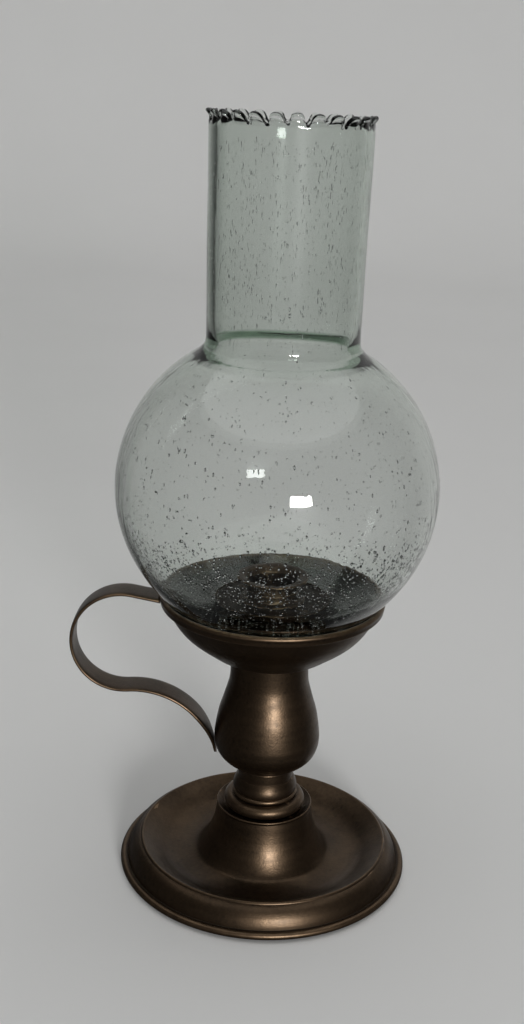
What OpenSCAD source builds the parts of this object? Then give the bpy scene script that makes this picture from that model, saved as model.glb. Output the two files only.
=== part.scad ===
// Hurricane candle lamp: a turned bronze candle holder with a strap handle, and
// a blown glass chimney that lifts off. Every metal piece is stacked on one tie
// rod, which the candle socket screws onto at the top and a nut holds below.
// Millimetres, +Z up. The origin is the middle of the foot, on the surface that
// the lamp stands on, and the handle points along -X.

/* [Foot] */
// Diameter of the foot over its rolled lip
foot_d = 143.2; // [115:0.2:180]
// Width of the rounded band between the ridge and the lip
band_w = 9; // [7:0.5:12]
// Height of the ridge above the table
ridge_h = 14.9; // [12:0.1:20]
// Width of the slope from the pan up to the ridge
slope_w = 19; // [10:0.5:22]
// Height of the pan floor above the table
pan_h = 5.4; // [5:0.1:8]
// Diameter of the pedestal under its top edge
pedestal_d = 47; // [46.5:0.5:58]
// Height of the pedestal's top edge above the table
pedestal_h = 33.6; // [28:0.2:45]
// How far the pedestal spreads where it meets the pan
pedestal_flare = 10; // [6:0.5:14]
// Depth of the seat turned into the pedestal's top
seat_depth = 1.7; // [1:0.1:2.5]
// Wall of the foot
foot_wall = 2.6; // [2:0.1:3.5]
// Thickness of the felt under the foot
felt_t = 1.2; // [0.8:0.1:2]
// Width of the foot's lip that shows around the felt
felt_inset = 4; // [3:0.5:8]

/* [Stem] */
// Diameter of the large bead on the pedestal
bead_d = 40; // [36:0.5:42]
// Height of the large bead
bead_h = 6.6; // [5:0.1:9]
// Diameter of the collar's neck
collar_d = 27.2; // [20:0.2:30]
// Height of the collar, its fine bead and neck included
collar_h = 15.4; // [12:0.1:18]
// Radius of the fine bead at the foot of the collar
fine_bead_r = 1.2; // [0.8:0.1:1.6]
// Height of the vase-shaped stem
stem_h = 58.7; // [48:0.1:72]
// Largest diameter of the stem, at its belly
belly_d = 51.8; // [46:0.2:60]
// Diameter of the stem's neck under the dish
neck_d = 37.8; // [32:0.2:40]
// Wall of the hollow stem
stem_wall = 2.5; // [2:0.1:4]
// Thickness of the stem's two ends
stem_end = 4; // [3:0.5:6]

/* [Dish] */
// Diameter of the dish over its rolled rim
dish_d = 107.6; // [105:0.2:135]
// Height of the dish
dish_h = 31.7; // [27:0.1:40]
// Diameter of the dish's flat underside
dish_base_d = 40; // [39:0.5:46]
// Wall of the dish's bowl
dish_wall = 2; // [1.6:0.1:2.6]
// Thickness of the dish's floor
dish_floor = 8; // [7:0.1:10]
// Radius of the rolled edge of the dish
rim_r = 1.4; // [1.2:0.1:1.6]
// Height of the rim band under the rolled edge
rim_band = 3.6; // [2.5:0.1:5]

/* [Candle socket] */
// Diameter of the candle that the socket takes
candle_d = 22; // [18:0.5:24]
// Clearance of the candle in its socket, on the diameter
candle_clear = 0.4; // [0.2:0.1:0.8]
// Wall of the socket
socket_wall = 0.9; // [0.8:0.1:1.5]
// Depth of the socket
socket_depth = 26; // [20:0.5:32]
// Height of the socket above the drip pan
socket_rise = 12.4; // [10:0.1:18]
// Diameter of the socket's flared mouth
flange_d = 33.8; // [30:0.2:38]
// Diameter of the bead where the socket stands on the drip pan
socket_bead_d = 31; // [29:0.5:34]
// Diameter of the drip pan
drip_pan_d = 55.4; // [44:0.2:56]
// Thickness of the drip pan's sheet
drip_pan_t = 1; // [0.8:0.1:1.5]
// Height of the riser between the dish and the drip pan
riser_h = 19.4; // [15:0.1:25]
// Wall of the riser
riser_wall = 2.4; // [1.5:0.1:4]

/* [Glass chimney] */
// Diameter of the globe
globe_d = 150; // [145:1:180]
// Wall of the glass
glass_wall = 2.6; // [2:0.1:3.5]
// Diameter of the chimney tube where it leaves the globe
tube_d = 69.4; // [55:0.1:80]
// How much wider the tube is under its crimped rim
tube_spread = 1.8; // [0:0.2:6]
// Height of the chimney, from its lower edge to the top of the rim
chimney_h = 243.2; // [200:0.2:300]
// Height of the crimped rim
crimp_h = 5; // [4:0.5:8]
// Number of crimps around the rim
crimps = 25; // [18:1:30]
// Gap between the glass's base neck and the drip pan that it passes over
glass_pass = 0.7; // [0.5:0.1:2]

/* [Handle] */
// Width of the strap
strap_w = 15; // [10:0.5:20]
// Thickness of the strap
strap_t = 2; // [1.5:0.1:3]
// Radius of the finger loop, at the middle of the strap
loop_r = 24.8; // [20:0.1:30]
// How far the loop's middle lies outside the dish's rim
loop_out = 17.1; // [14:0.1:26]
// How far the loop's middle lies below the dish's rim
loop_drop = 26; // [22:0.1:32]
// Height of the strap's lowest point above the stem's foot
tip_h = 5; // [4:0.1:12]
// Rise from the strap's tip to where it lies against the stem
touch_rise = 6.5; // [4:0.1:8]
// Width of the strap at its lower tip
tip_w = 6; // [4:0.5:10]

/* [Fasteners] */
// Diameter of the tie rod
rod_d = 6; // [5:0.5:8]
// Nut width across its flats, for each millimetre of rod
nut_ratio = 1.667; // [1.5:0.01:1.8]
// Thickness of the nut
nut_t = 5; // [4:0.5:7]
// Diameter of the plate washer inside the pedestal
plate_washer_d = 34; // [24:0.5:36]
// Thickness of the plate washer
plate_washer_t = 2; // [1.5:0.1:3]
// Thickness of the spring washer
spring_washer_t = 1.6; // [1.2:0.1:2]
// How far the rod stands out below its nut
rod_tail = 3; // [1:0.5:5]

/* [Fits] */
// Clearance of a bore around the rod, on the radius
bore_clear = 0.3; // [0.2:0.05:0.5]
// Clearance of a threaded piece on the rod, on the radius
thread_clear = 0.1; // [0.05:0.01:0.15]
// Gap between the glass and what it stands in
glass_gap = 0.3; // [0.25:0.05:0.5]
// Gap at the two brazed ends of the handle
braze_gap = 0.1; // [0.05:0.05:0.2]

/* [Hidden] */
$fn = 96;
eps = 0.01;

// Levels up the stack, each from the piece below it
seat_z = pedestal_h - seat_depth;
collar_z = seat_z + bead_h;
stem_z = collar_z + collar_h;
dish_z = stem_z + stem_h;
floor_z = dish_z + dish_floor;
rim_z = dish_z + dish_h;
drip_pan_z = floor_z + riser_h;
socket_z = drip_pan_z + drip_pan_t;
mouth_z = socket_z + socket_rise;
cup_floor_z = mouth_z - socket_depth;
glass_z = floor_z + glass_gap;
crimp_z = glass_z + chimney_h - crimp_h;

// Radii that more than one piece uses
rod_r = rod_d / 2;
bore_r = rod_r + bore_clear;
thread_r = rod_r + thread_clear;
foot_r = foot_d / 2;
dish_r = dish_d / 2;
belly_r = belly_d / 2;
candle_r = (candle_d + candle_clear) / 2;
socket_r = candle_r + socket_wall;
spigot_r = socket_r + bore_clear;
globe_r = globe_d / 2;
rim_edge_r = dish_r - rim_r;
rim_edge_z = rim_z - rim_r;
glass_base_in = drip_pan_d / 2 + glass_pass;
glass_base_out = glass_base_in + glass_wall;

// The globe nests in the dish's rolled rim, so the rim sets its height
globe_z = rim_edge_z + sqrt(pow(globe_r + rim_r + glass_gap, 2) - pow(rim_edge_r, 2));

// Height of the belly's widest place, as a part of the stem
belly_place = 0.27;
// Thickness of the socket's tapped floor
cup_floor_t = 3.6;
// Height of the rolled edge at the foot's lip
lip_h = 3.6;

// Smooth curve through points, with steps pieces between one point and the next
function spline_at(a, b, c, d, t) =
  0.5 * (2 * b + (c - a) * t + (2 * a - 5 * b + 4 * c - d) * t * t
  + (3 * b - a - 3 * c + d) * t * t * t);
function spline(p, steps = 4) =
  let (last = len(p) - 1)
  [for (i = [0:last - 1], k = [0:steps - (i == last - 1 ? 0 : 1)])
    spline_at(p[max(i - 1, 0)], p[i], p[i + 1], p[min(i + 2, last)], k / steps)];

// The same curve moved to its left, which is towards the inside of a wall
function inset(p, wall) =
  let (last = len(p) - 1)
  [for (i = [0:last])
    let (d = p[min(i + 1, last)] - p[max(i - 1, 0)])
    p[i] + wall * [-d.y, d.x] / norm(d)];

// Solid between the axis and a profile, with a bore through it
module turned(profile, bore) {
  rotate_extrude()
    difference() {
      polygon(concat([[0, profile[0].y]], profile, [[0, profile[len(profile) - 1].y]]));
      translate([-eps, profile[0].y - 1])
        square([bore + eps, profile[len(profile) - 1].y - profile[0].y + 2]);
    }
}

// Flat ring
module ring(inner_r, outer_r, z, t) {
  translate([0, 0, z])
    difference() {
      cylinder(r = outer_r, h = t);
      translate([0, 0, -1])
        cylinder(r = inner_r, h = t + 2);
    }
}

// The foot's upper face, from its lip in to the foot of the pedestal
ridge_r = foot_r - band_w - lip_h / 2;
flare_r = pedestal_d / 2 + pedestal_flare;
pan_r = max(ridge_r - slope_w, flare_r + 1);
foot_band = spline([
  [foot_r - lip_h / 2, felt_t + lip_h],
  [foot_r - lip_h / 2 - 0.2 * band_w, felt_t + lip_h + 0.32 * (ridge_h - felt_t - lip_h)],
  [foot_r - lip_h / 2 - 0.55 * band_w, felt_t + lip_h + 0.72 * (ridge_h - felt_t - lip_h)],
  [ridge_r + 0.8, ridge_h - 0.9]]);
foot_pan = spline([
  [ridge_r, ridge_h],
  [ridge_r - 0.3 * (ridge_r - pan_r), pan_h + 0.62 * (ridge_h - pan_h)],
  [ridge_r - 0.65 * (ridge_r - pan_r), pan_h + 0.18 * (ridge_h - pan_h)],
  [pan_r, pan_h],
  [flare_r, pan_h + 0.4]]);
foot_side = spline([
  [flare_r, pan_h + 0.4],
  [pedestal_d / 2 + 0.6 * pedestal_flare, pan_h + 0.16 * (pedestal_h - pan_h)],
  [pedestal_d / 2 + 0.3 * pedestal_flare, pan_h + 0.42 * (pedestal_h - pan_h)],
  [pedestal_d / 2 + 0.1 * pedestal_flare, pan_h + 0.7 * (pedestal_h - pan_h)],
  [pedestal_d / 2, pedestal_h - seat_depth]]);

module base_felt() {
  color("darkolivegreen")
    cylinder(r = foot_r - felt_inset, h = felt_t);
}

module foot() {
  lip_r = lip_h / 2;
  band_under = inset(foot_band, foot_wall);
  pan_under = inset(concat(foot_pan, foot_side), foot_wall);
  color("saddlebrown")
    rotate_extrude()
      difference() {
        union() {
          polygon(concat([[0, felt_t], [foot_r - lip_r, felt_t]], foot_band, foot_pan, foot_side,
            [[pedestal_d / 2 + 0.3, pedestal_h], [pedestal_d / 2 - 0.3, pedestal_h],
             [pedestal_d / 2 - 1, seat_z], [0, seat_z]]));
          translate([foot_r - lip_r, felt_t + lip_r])
            circle(r = lip_r);
        }
        intersection() {
          polygon(concat([[0, 0], [band_under[0].x, 0]], band_under,
            [[ridge_r - band_w, pedestal_h], [0, pedestal_h]]));
          polygon(concat([[0, 0], [foot_r, 0], [foot_r, ridge_h + foot_wall]], pan_under,
            [[0, pedestal_h]]));
          square([foot_r, seat_z - foot_wall]);
        }
        translate([-eps, 0])
          square([bore_r + eps, pedestal_h]);
      }
}

module plate_washer() {
  color("silver")
    ring(bore_r, plate_washer_d / 2, seat_z - foot_wall - plate_washer_t, plate_washer_t);
}

spring_washer_z = seat_z - foot_wall - plate_washer_t - spring_washer_t;

module spring_washer() {
  washer_r = 1.02 * rod_d;
  split = 0.8;
  color("gray")
    difference() {
      ring(bore_r, washer_r, spring_washer_z, spring_washer_t);
      translate([0, -split / 2, spring_washer_z - 1])
        cube([washer_r + 1, split, spring_washer_t + 2]);
    }
}

module base_nut() {
  color("silver")
    translate([0, 0, spring_washer_z - nut_t])
      difference() {
        cylinder(r = nut_ratio * rod_r / cos(30), h = nut_t, $fn = 6);
        translate([0, 0, -1])
          cylinder(r = thread_r, h = nut_t + 2);
      }
}

module tie_rod() {
  rod_z = spring_washer_z - nut_t - rod_tail;
  color("silver")
    translate([0, 0, rod_z])
      cylinder(r = rod_r, h = cup_floor_z - rod_z);
}

module bead_ring() {
  bulge = bead_h / 2;
  core_r = bead_d / 2 - bulge;
  color("saddlebrown")
    difference() {
      rotate_extrude()
        union() {
          translate([0, seat_z])
            square([core_r, bead_h]);
          translate([core_r, seat_z + bulge])
            circle(r = bulge);
        }
      translate([0, 0, seat_z - 1])
        cylinder(r = bore_r, h = bead_h + 2);
    }
}

module collar() {
  neck_r = collar_d / 2;
  dome_z = collar_z + 2 * fine_bead_r;
  neck_h = 5;
  color("saddlebrown")
    difference() {
      rotate_extrude()
        union() {
          polygon(concat(
            [[0, collar_z], [neck_r + 1.2, collar_z], [neck_r + 1.2, dome_z]],
            spline([
              [neck_r + 2, dome_z],
              [neck_r + 1.9, dome_z + 0.4 * (collar_h - neck_h - 2 * fine_bead_r)],
              [neck_r + 0.9, dome_z + 0.85 * (collar_h - neck_h - 2 * fine_bead_r)],
              [neck_r, stem_z - neck_h]]),
            [[neck_r, stem_z], [0, stem_z]]));
          translate([neck_r + 1.2, collar_z + fine_bead_r])
            circle(r = fine_bead_r);
        }
      translate([0, 0, collar_z - 1])
        cylinder(r = bore_r, h = collar_h + 2);
    }
}

// The stem's outline, from its foot up to the dish
stem_curve = let (base_r = collar_d / 2 + 0.4, belly_z = stem_z + belly_place * stem_h)
  spline([
    [base_r, stem_z],
    [base_r + 0.6 * (belly_r - base_r), stem_z + 0.075 * stem_h],
    [belly_r - 0.12 * (belly_r - base_r), stem_z + 0.145 * stem_h],
    [belly_r, belly_z],
    [belly_r - 0.08 * (belly_r - neck_d / 2), belly_z + 0.12 * stem_h],
    [belly_r - 0.58 * (belly_r - neck_d / 2), belly_z + 0.37 * stem_h],
    [neck_d / 2 + 0.15 * (belly_r - neck_d / 2), dish_z - 0.22 * stem_h],
    [neck_d / 2, dish_z - 0.1 * stem_h],
    [neck_d / 2, dish_z]]);

module stem() {
  color("saddlebrown")
    difference() {
      turned(stem_curve, bore_r);
      rotate_extrude()
        intersection() {
          polygon(concat([[0, stem_z]], inset(stem_curve, stem_wall), [[0, dish_z]]));
          translate([0, stem_z + stem_end])
            square([belly_r, stem_h - 2 * stem_end]);
        }
    }
}

// The dish's outline, from its flat underside up to the groove below the rim
dish_base_r = dish_base_d / 2;
bowl_r = dish_r - 3;
band_r = dish_r - 0.4;
dish_curve = let (w = bowl_r - dish_base_r, bowl_h = dish_h - rim_r - rim_band)
  spline([
    [dish_base_r, dish_z],
    [dish_base_r + 0.17 * w, dish_z + 0.08 * bowl_h],
    [dish_base_r + 0.6 * w, dish_z + 0.39 * bowl_h],
    [dish_base_r + 0.9 * w, dish_z + 0.72 * bowl_h],
    [bowl_r, dish_z + bowl_h]]);

module dish() {
  band_z = rim_edge_z - rim_band;
  color("saddlebrown")
    difference() {
      rotate_extrude()
        difference() {
          union() {
            polygon(concat([[0, dish_z]], dish_curve,
              [[band_r, band_z + 1], [band_r, rim_edge_z], [0, rim_edge_z]]));
            translate([rim_edge_r, rim_edge_z])
              circle(r = rim_r);
          }
          intersection() {
            polygon(concat([[0, dish_z]], inset(dish_curve, dish_wall),
              [[rim_edge_r - rim_r, rim_edge_z], [rim_edge_r - rim_r, rim_z + 1], [0, rim_z + 1]]));
            translate([0, floor_z])
              square([dish_r, dish_h]);
          }
        }
      translate([0, 0, dish_z - 1])
        cylinder(r = bore_r, h = dish_h);
    }
}

module riser() {
  color("saddlebrown")
    ring(spigot_r, spigot_r + riser_wall, floor_z, riser_h);
}

module drip_pan() {
  edge_r = drip_pan_d / 2;
  turn_up = 1.6;
  color("saddlebrown")
    rotate_extrude()
      union() {
        polygon([
          [spigot_r, drip_pan_z], [edge_r - 4, drip_pan_z],
          [edge_r - drip_pan_t / 2, drip_pan_z + turn_up - drip_pan_t],
          [edge_r - drip_pan_t / 2, drip_pan_z + turn_up],
          [edge_r - 4.4, drip_pan_z + drip_pan_t], [spigot_r, drip_pan_z + drip_pan_t]]);
        translate([edge_r - drip_pan_t / 2, drip_pan_z + turn_up - drip_pan_t / 2])
          circle(r = drip_pan_t / 2);
      }
}

module candle_socket() {
  bead_r = socket_bead_d / 2;
  flange_t = 1.1;
  throat_h = 2.6;
  color("saddlebrown")
    difference() {
      union() {
        translate([0, 0, cup_floor_z - cup_floor_t])
          cylinder(r = socket_r, h = mouth_z - cup_floor_z + cup_floor_t - flange_t);
        rotate_extrude()
          polygon(concat(
            [[0, socket_z], [bead_r - 0.4, socket_z], [bead_r, socket_z + 0.5],
             [bead_r - 0.4, socket_z + 1], [socket_r, socket_z + 1.5], [socket_r, mouth_z - 4]],
            spline([
              [socket_r, mouth_z - 4],
              [socket_r + 0.8, mouth_z - 2],
              [flange_d / 2 - 0.4, mouth_z - flange_t]]),
            [[flange_d / 2, mouth_z - flange_t / 2], [flange_d / 2 - 0.4, mouth_z],
             [0, mouth_z]]));
      }
      translate([0, 0, cup_floor_z])
        cylinder(r = candle_r, h = socket_depth + 1);
      translate([0, 0, mouth_z - throat_h])
        cylinder(r1 = candle_r, r2 = candle_r + 1.8, h = throat_h + eps);
      translate([0, 0, cup_floor_z - cup_floor_t - 1])
        cylinder(r = thread_r, h = cup_floor_t + 2);
    }
}

// The strap bends round two circles that touch each other: the finger loop, and
// a lower bend whose outer face lies against the stem just below its belly
loop_x = -(dish_r + loop_out);
loop_z = rim_z - loop_drop;
bend_z = stem_z;
tip_z = stem_z + tip_h;
touch_z = tip_z + touch_rise;
touch_r = lookup(touch_z, [for (p = stem_curve) [p.y, p.x]]) + braze_gap;
function bend_middle(r) = -touch_r - sqrt(pow(r + strap_t / 2, 2) - pow(touch_z - bend_z, 2));
function bend_gap(r) = norm([bend_middle(r) - loop_x, bend_z - loop_z]) - loop_r - r;
function solve_bend(low, high, n = 44) =
  let (mid = (low + high) / 2)
  n == 0 ? mid
  : bend_gap(mid) > 0 ? solve_bend(mid, high, n - 1)
  : solve_bend(low, mid, n - 1);
bend_r = solve_bend(touch_z - bend_z, 90);
bend_x = bend_middle(bend_r);
join_a = atan2(loop_z - bend_z, loop_x - bend_x);
tip_a = asin((tip_z - bend_z) / bend_r);
// Where the loop ends and the straight arm to the rim begins, in degrees
rise_a = 80;
arm_l = loop_out + strap_w;

function arc(x, z, r, from_a, to_a, pieces) =
  [for (i = [0:pieces])
    let (a = from_a + (to_a - from_a) * i / pieces)
    [x + r * cos(a), z + r * sin(a)]];

// One face of the strap, from the dish's rim to the tip; side is 1 or -1
function strap_face(side) =
  let (
    loop = arc(loop_x, loop_z, loop_r + side * strap_t / 2, rise_a, 180 + join_a, 28),
    bend = arc(bend_x, bend_z, bend_r - side * strap_t / 2, join_a, tip_a, 14))
  concat([loop[0] + arm_l * [sin(rise_a), -cos(rise_a)]], loop, [for (i = [1:14]) bend[i]]);

module handle() {
  tip_taper = 16;
  inner_face = strap_face(-1);
  color("saddlebrown")
    difference() {
      rotate([90, 0, 0])
        linear_extrude(height = strap_w, center = true)
          polygon(concat(strap_face(1), [for (i = [len(inner_face) - 1:-1:0]) inner_face[i]]));
      translate([0, 0, dish_z])
        cylinder(r = band_r + braze_gap, h = dish_h + loop_r);
      rotate_extrude()
        polygon(concat([[0, stem_z]], inset(stem_curve, -braze_gap / 2), [[0, dish_z]]));
      for (side = [-1, 1])
        translate([bend_x, side * strap_w / 2, tip_z - 1])
          rotate([side * atan((strap_w - tip_w) / 2 / tip_taper), 0, 0])
            translate([0, side > 0 ? 0 : -strap_w, -strap_w])
              cube([2 * bend_r, strap_w, strap_w + tip_taper]);
    }
}

// Half of the globe's outline, on the outer side of the axis
module globe_half(r) {
  intersection() {
    translate([0, globe_z])
      circle(r = r);
    translate([0, globe_z - r])
      square([r, 2 * r]);
  }
}

module glass_chimney() {
  tube_r = tube_d / 2;
  top_r = tube_r + tube_spread / 2;
  rim_out_r = top_r + 1.2;
  top_z = crimp_z + crimp_h;
  neck_z = globe_z + sqrt(pow(globe_r, 2) - pow(tube_r, 2)) - 1;
  hole_z = globe_z - sqrt(pow(globe_r, 2) - pow(glass_base_out, 2)) + 1;
  notch_r = 0.3 * PI * rim_out_r / crimps;
  color("darkseagreen", 0.5)
    difference() {
      rotate_extrude()
        difference() {
          union() {
            globe_half(globe_r);
            polygon([[0, neck_z], [tube_r, neck_z], [top_r, crimp_z], [rim_out_r, top_z], [0, top_z]]);
            translate([0, glass_z])
              square([glass_base_out, hole_z - glass_z]);
          }
          globe_half(globe_r - glass_wall);
          polygon([[0, globe_z], [tube_r - glass_wall, globe_z], [top_r - glass_wall, crimp_z],
            [rim_out_r - glass_wall, top_z], [rim_out_r - glass_wall, top_z + 1], [0, top_z + 1]]);
          translate([0, glass_z - 1])
            square([glass_base_in, globe_z - glass_z]);
        }
      for (k = [0:crimps - 1])
        rotate([0, 90, 360 * k / crimps])
          translate([-top_z, 0, tube_r / 2])
            cylinder(r = notch_r, h = tube_r, $fn = 24);
    }
}

base_felt();
foot();
plate_washer();
spring_washer();
base_nut();
tie_rod();
bead_ring();
collar();
stem();
dish();
riser();
drip_pan();
candle_socket();
handle();
glass_chimney();
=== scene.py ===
import math
import random

import bmesh
import bpy
from mathutils import Matrix, Vector


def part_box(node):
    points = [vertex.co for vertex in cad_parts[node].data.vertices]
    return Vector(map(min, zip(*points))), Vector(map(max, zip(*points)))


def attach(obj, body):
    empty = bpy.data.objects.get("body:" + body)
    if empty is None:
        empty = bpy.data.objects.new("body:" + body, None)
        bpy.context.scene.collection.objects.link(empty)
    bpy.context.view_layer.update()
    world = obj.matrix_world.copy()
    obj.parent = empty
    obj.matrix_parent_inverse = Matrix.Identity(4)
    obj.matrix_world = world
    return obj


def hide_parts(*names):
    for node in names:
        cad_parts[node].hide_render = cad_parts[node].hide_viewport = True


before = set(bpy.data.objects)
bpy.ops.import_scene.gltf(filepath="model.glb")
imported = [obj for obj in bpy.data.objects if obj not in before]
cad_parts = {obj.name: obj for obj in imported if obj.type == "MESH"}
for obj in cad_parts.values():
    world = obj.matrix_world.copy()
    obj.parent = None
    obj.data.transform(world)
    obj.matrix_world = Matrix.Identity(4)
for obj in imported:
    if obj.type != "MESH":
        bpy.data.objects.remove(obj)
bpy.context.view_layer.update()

MM = 0.001


# ---- Felt under the foot ------------------------------------------------------
# A disc of wool felt, die-cut and glued under the foot so that the metal doesn't
# scratch the table. Its cut edge is slightly furry and its underside pressed flat.

def eased(corners, steps=4):
    """A closed outline through corners (r, z) or (r, z, ease), in millimetres. ease rounds a corner off."""
    outline = []
    for i, corner in enumerate(corners):
        here = Vector(corner[:2])
        ease = corner[2] if len(corner) > 2 else 0
        if not ease:
            outline.append(here)
            continue
        before = Vector(corners[i - 1][:2]) - here
        after = Vector(corners[(i + 1) % len(corners)][:2]) - here
        start = here + before.normalized() * min(ease, 0.45 * before.length)
        end = here + after.normalized() * min(ease, 0.45 * after.length)
        for k in range(steps + 1):
            t = k / steps
            outline.append(start.lerp(here, t).lerp(here.lerp(end, t), t))
    return outline


def braced(outline, near=0.15, long=1.2):
    """Adds a point near each end of every run over long, in millimetres, so that flat faces shade flat."""
    rings = []
    for i, here in enumerate(outline):
        after = outline[(i + 1) % len(outline)]
        run = after - here
        rings.append(here)
        if run.length > long:
            rings.append(here + run.normalized() * near)
            rings.append(after - run.normalized() * near)
    return rings


def as_piece(name, bm):
    """The finished mesh as a smooth-shaded object in the scene."""
    mesh = bpy.data.meshes.new(name)
    bm.to_mesh(mesh)
    bm.free()
    mesh.shade_smooth()
    piece = bpy.data.objects.new(name, mesh)
    bpy.context.scene.collection.objects.link(piece)
    return piece


def turned(name, corners, base_z, around=192):
    """A piece turned on a lathe, from its closed outline: anticlockwise, in millimetres above base_z."""
    bm = bmesh.new()
    rings = []
    for point in braced(eased(corners)):
        r, z = point.x * MM, base_z + point.y * MM
        if r < 1e-6:
            rings.append([bm.verts.new((0, 0, z))] * around)
        else:
            rings.append([bm.verts.new((r * math.cos(a), r * math.sin(a), z))
                          for a in (2 * math.pi * k / around for k in range(around))])
    for ring, above in zip(rings, rings[1:] + rings[:1]):
        for k in range(around):
            m = (k + 1) % around
            corner = []
            for vert in (ring[k], ring[m], above[m], above[k]):
                if vert not in corner:
                    corner.append(vert)
            if len(corner) > 2:
                bm.faces.new(corner)
    return as_piece(name, bm)


def put(tree, kind, sockets=None, **settings):
    """Adds a shader node. A socket is given a number, a colour or another node's output, which is linked."""
    made = tree.nodes.new("ShaderNode" + kind)
    for name, value in settings.items():
        setattr(made, name, value)
    for name, value in (sockets or {}).items():
        if isinstance(value, bpy.types.NodeSocket):
            tree.links.new(value, made.inputs[name])
        else:
            made.inputs[name].default_value = value
    return made


def new_material(name):
    """An empty node material, its tree and its output node."""
    material = bpy.data.materials.new(name)
    material.use_nodes = True
    material.node_tree.nodes.clear()
    return material, material.node_tree, put(material.node_tree, "OutputMaterial")


def spread(tree, value, low, high, to_low=0.0, to_high=1.0):
    """Stretches value from the range low..high to to_low..to_high, and holds it there."""
    return put(tree, "MapRange", {"Value": value, "From Min": low, "From Max": high,
                                  "To Min": to_low, "To Max": to_high}).outputs["Result"]


def blend_colour(tree, factor, first, second):
    """Mixes two colours by factor. Each is three numbers or another node's output."""
    mixed = put(tree, "Mix", data_type="RGBA")
    for socket, value in ((0, factor), (6, first), (7, second)):
        if isinstance(value, bpy.types.NodeSocket):
            tree.links.new(value, mixed.inputs[socket])
        elif socket == 0:
            mixed.inputs[0].default_value = value
        else:
            mixed.inputs[socket].default_value = (*value, 1)
    return mixed.outputs[2]


def finish_with(piece, material, slot, body, *nodes):
    """Gives the piece its material and body, and hides the CAD nodes that it stands for. slot is not used.
    """
    piece.data.materials.clear()
    piece.data.materials.append(material)
    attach(piece, body)
    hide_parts(*nodes)


def noise(tree, place, scale, detail, rough=0.5, distortion=0.0):
    """Cloudy noise from 0 to 1, with scale in cycles to the metre."""
    return put(tree, "TexNoise", {"Vector": place, "Scale": scale, "Detail": detail, "Roughness": rough,
                                  "Distortion": distortion}).outputs["Fac"]


def felt_finish():
    """Dark green wool: fine fibres in loose clumps, with a soft nap."""
    material, tree, out = new_material("wool_felt")
    place = put(tree, "TexCoord").outputs["Object"]
    fibres = noise(tree, place, 900, 8, 0.75)
    clumps = noise(tree, place, 120, 4)
    tone = blend_colour(tree, spread(tree, fibres, 0.3, 0.7), (0.012, 0.018, 0.011), (0.045, 0.058, 0.038))
    tone = blend_colour(tree, spread(tree, clumps, 0.35, 0.7, 0, 0.4), tone, (0.07, 0.075, 0.06))
    nap = put(tree, "Bump", {"Height": fibres, "Strength": 0.8, "Distance": 0.0004}).outputs["Normal"]
    felt = put(tree, "BsdfPrincipled", {"Base Color": tone, "Roughness": 0.95, "Normal": nap,
                                        "Sheen Weight": 0.4, "Sheen Roughness": 0.6,
                                        "Specular IOR Level": 0.2})
    tree.links.new(felt.outputs[0], out.inputs[0])
    return material


felt_low, felt_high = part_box("base_felt")
felt_r = felt_high.x / MM
felt_t = (felt_high.z - felt_low.z) / MM
felt = turned("base_felt", [(0, 0), (0.5 * felt_r, 0), (felt_r - 0.3, 0, 0.3),
                            (felt_r - 0.05, 0.5 * felt_t, 0.3), (felt_r - 0.3, felt_t, 0.2),
                            (0.5 * felt_r, felt_t), (0, felt_t)], felt_low.z)
furry = 1 * MM
for vert in felt.data.vertices:
    reach = Vector((vert.co.x, vert.co.y)).length
    if reach > felt_high.x - furry:
        turn = math.atan2(vert.co.y, vert.co.x)
        fray = 1 - 0.0016 * (1 + math.sin(61 * turn) * math.sin(17 * turn + 1))
        vert.co.x *= fray
        vert.co.y *= fray
finish_with(felt, felt_finish(), "felt", "lamp", "base_felt")


# ---- Foot ---------------------------------------------------------------------
# One casting, turned all over: a rolled lip, a broad rounded band up to a sharp
# ridge, a dished pan, and a hollow pedestal with a recessed seat for the bead ring.
# Patinated dark and lacquered; the bronze shows through where hands rub it.

def smooth(points, steps=8):
    """A smooth curve through points given in millimetres, as a list of vectors in millimetres."""
    way = [Vector(p) for p in points]
    curve = []
    for i in range(len(way) - 1):
        a, b, c, d = way[max(i - 1, 0)], way[i], way[i + 1], way[min(i + 2, len(way) - 1)]
        for k in range(steps):
            t = k / steps
            curve.append(0.5 * (2 * b + (c - a) * t + (2 * a - 5 * b + 4 * c - d) * t * t
                                + (3 * b - a - 3 * c + d) * t ** 3))
    return curve + [way[-1]]


def arc(r, z, size, start, step, count):
    """Points round the centre (r, z), in millimetres: count of them, step degrees apart, from start."""
    return [(r + size * math.cos(a), z + size * math.sin(a))
            for a in (math.radians(start + step * k) for k in range(count))]


def maths(tree, operation, first, second, clamp=False):
    """One sum on two numbers or outputs, such as ADD, SUBTRACT, MULTIPLY, DIVIDE or MAXIMUM."""
    return put(tree, "Math", {0: first, 1: second}, operation=operation, use_clamp=clamp).outputs[0]


def from_axis(tree, place):
    """How far each spot is from the lamp's axis, and how high, in metres."""
    parts = put(tree, "SeparateXYZ", {0: place}).outputs
    flat = put(tree, "CombineXYZ", {0: parts[0], 1: parts[1]}).outputs[0]
    return put(tree, "VectorMath", {0: flat}, operation="LENGTH").outputs["Value"], parts[2]


def shader_group(name, *outputs):
    """An empty shader node group that puts out one number under each name."""
    group = bpy.data.node_groups.new(name, "ShaderNodeTree")
    for label in outputs:
        group.interface.new_socket(label, in_out="OUTPUT", socket_type="NodeSocketFloat")
    return group, group.nodes.new("NodeGroupOutput")


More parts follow.
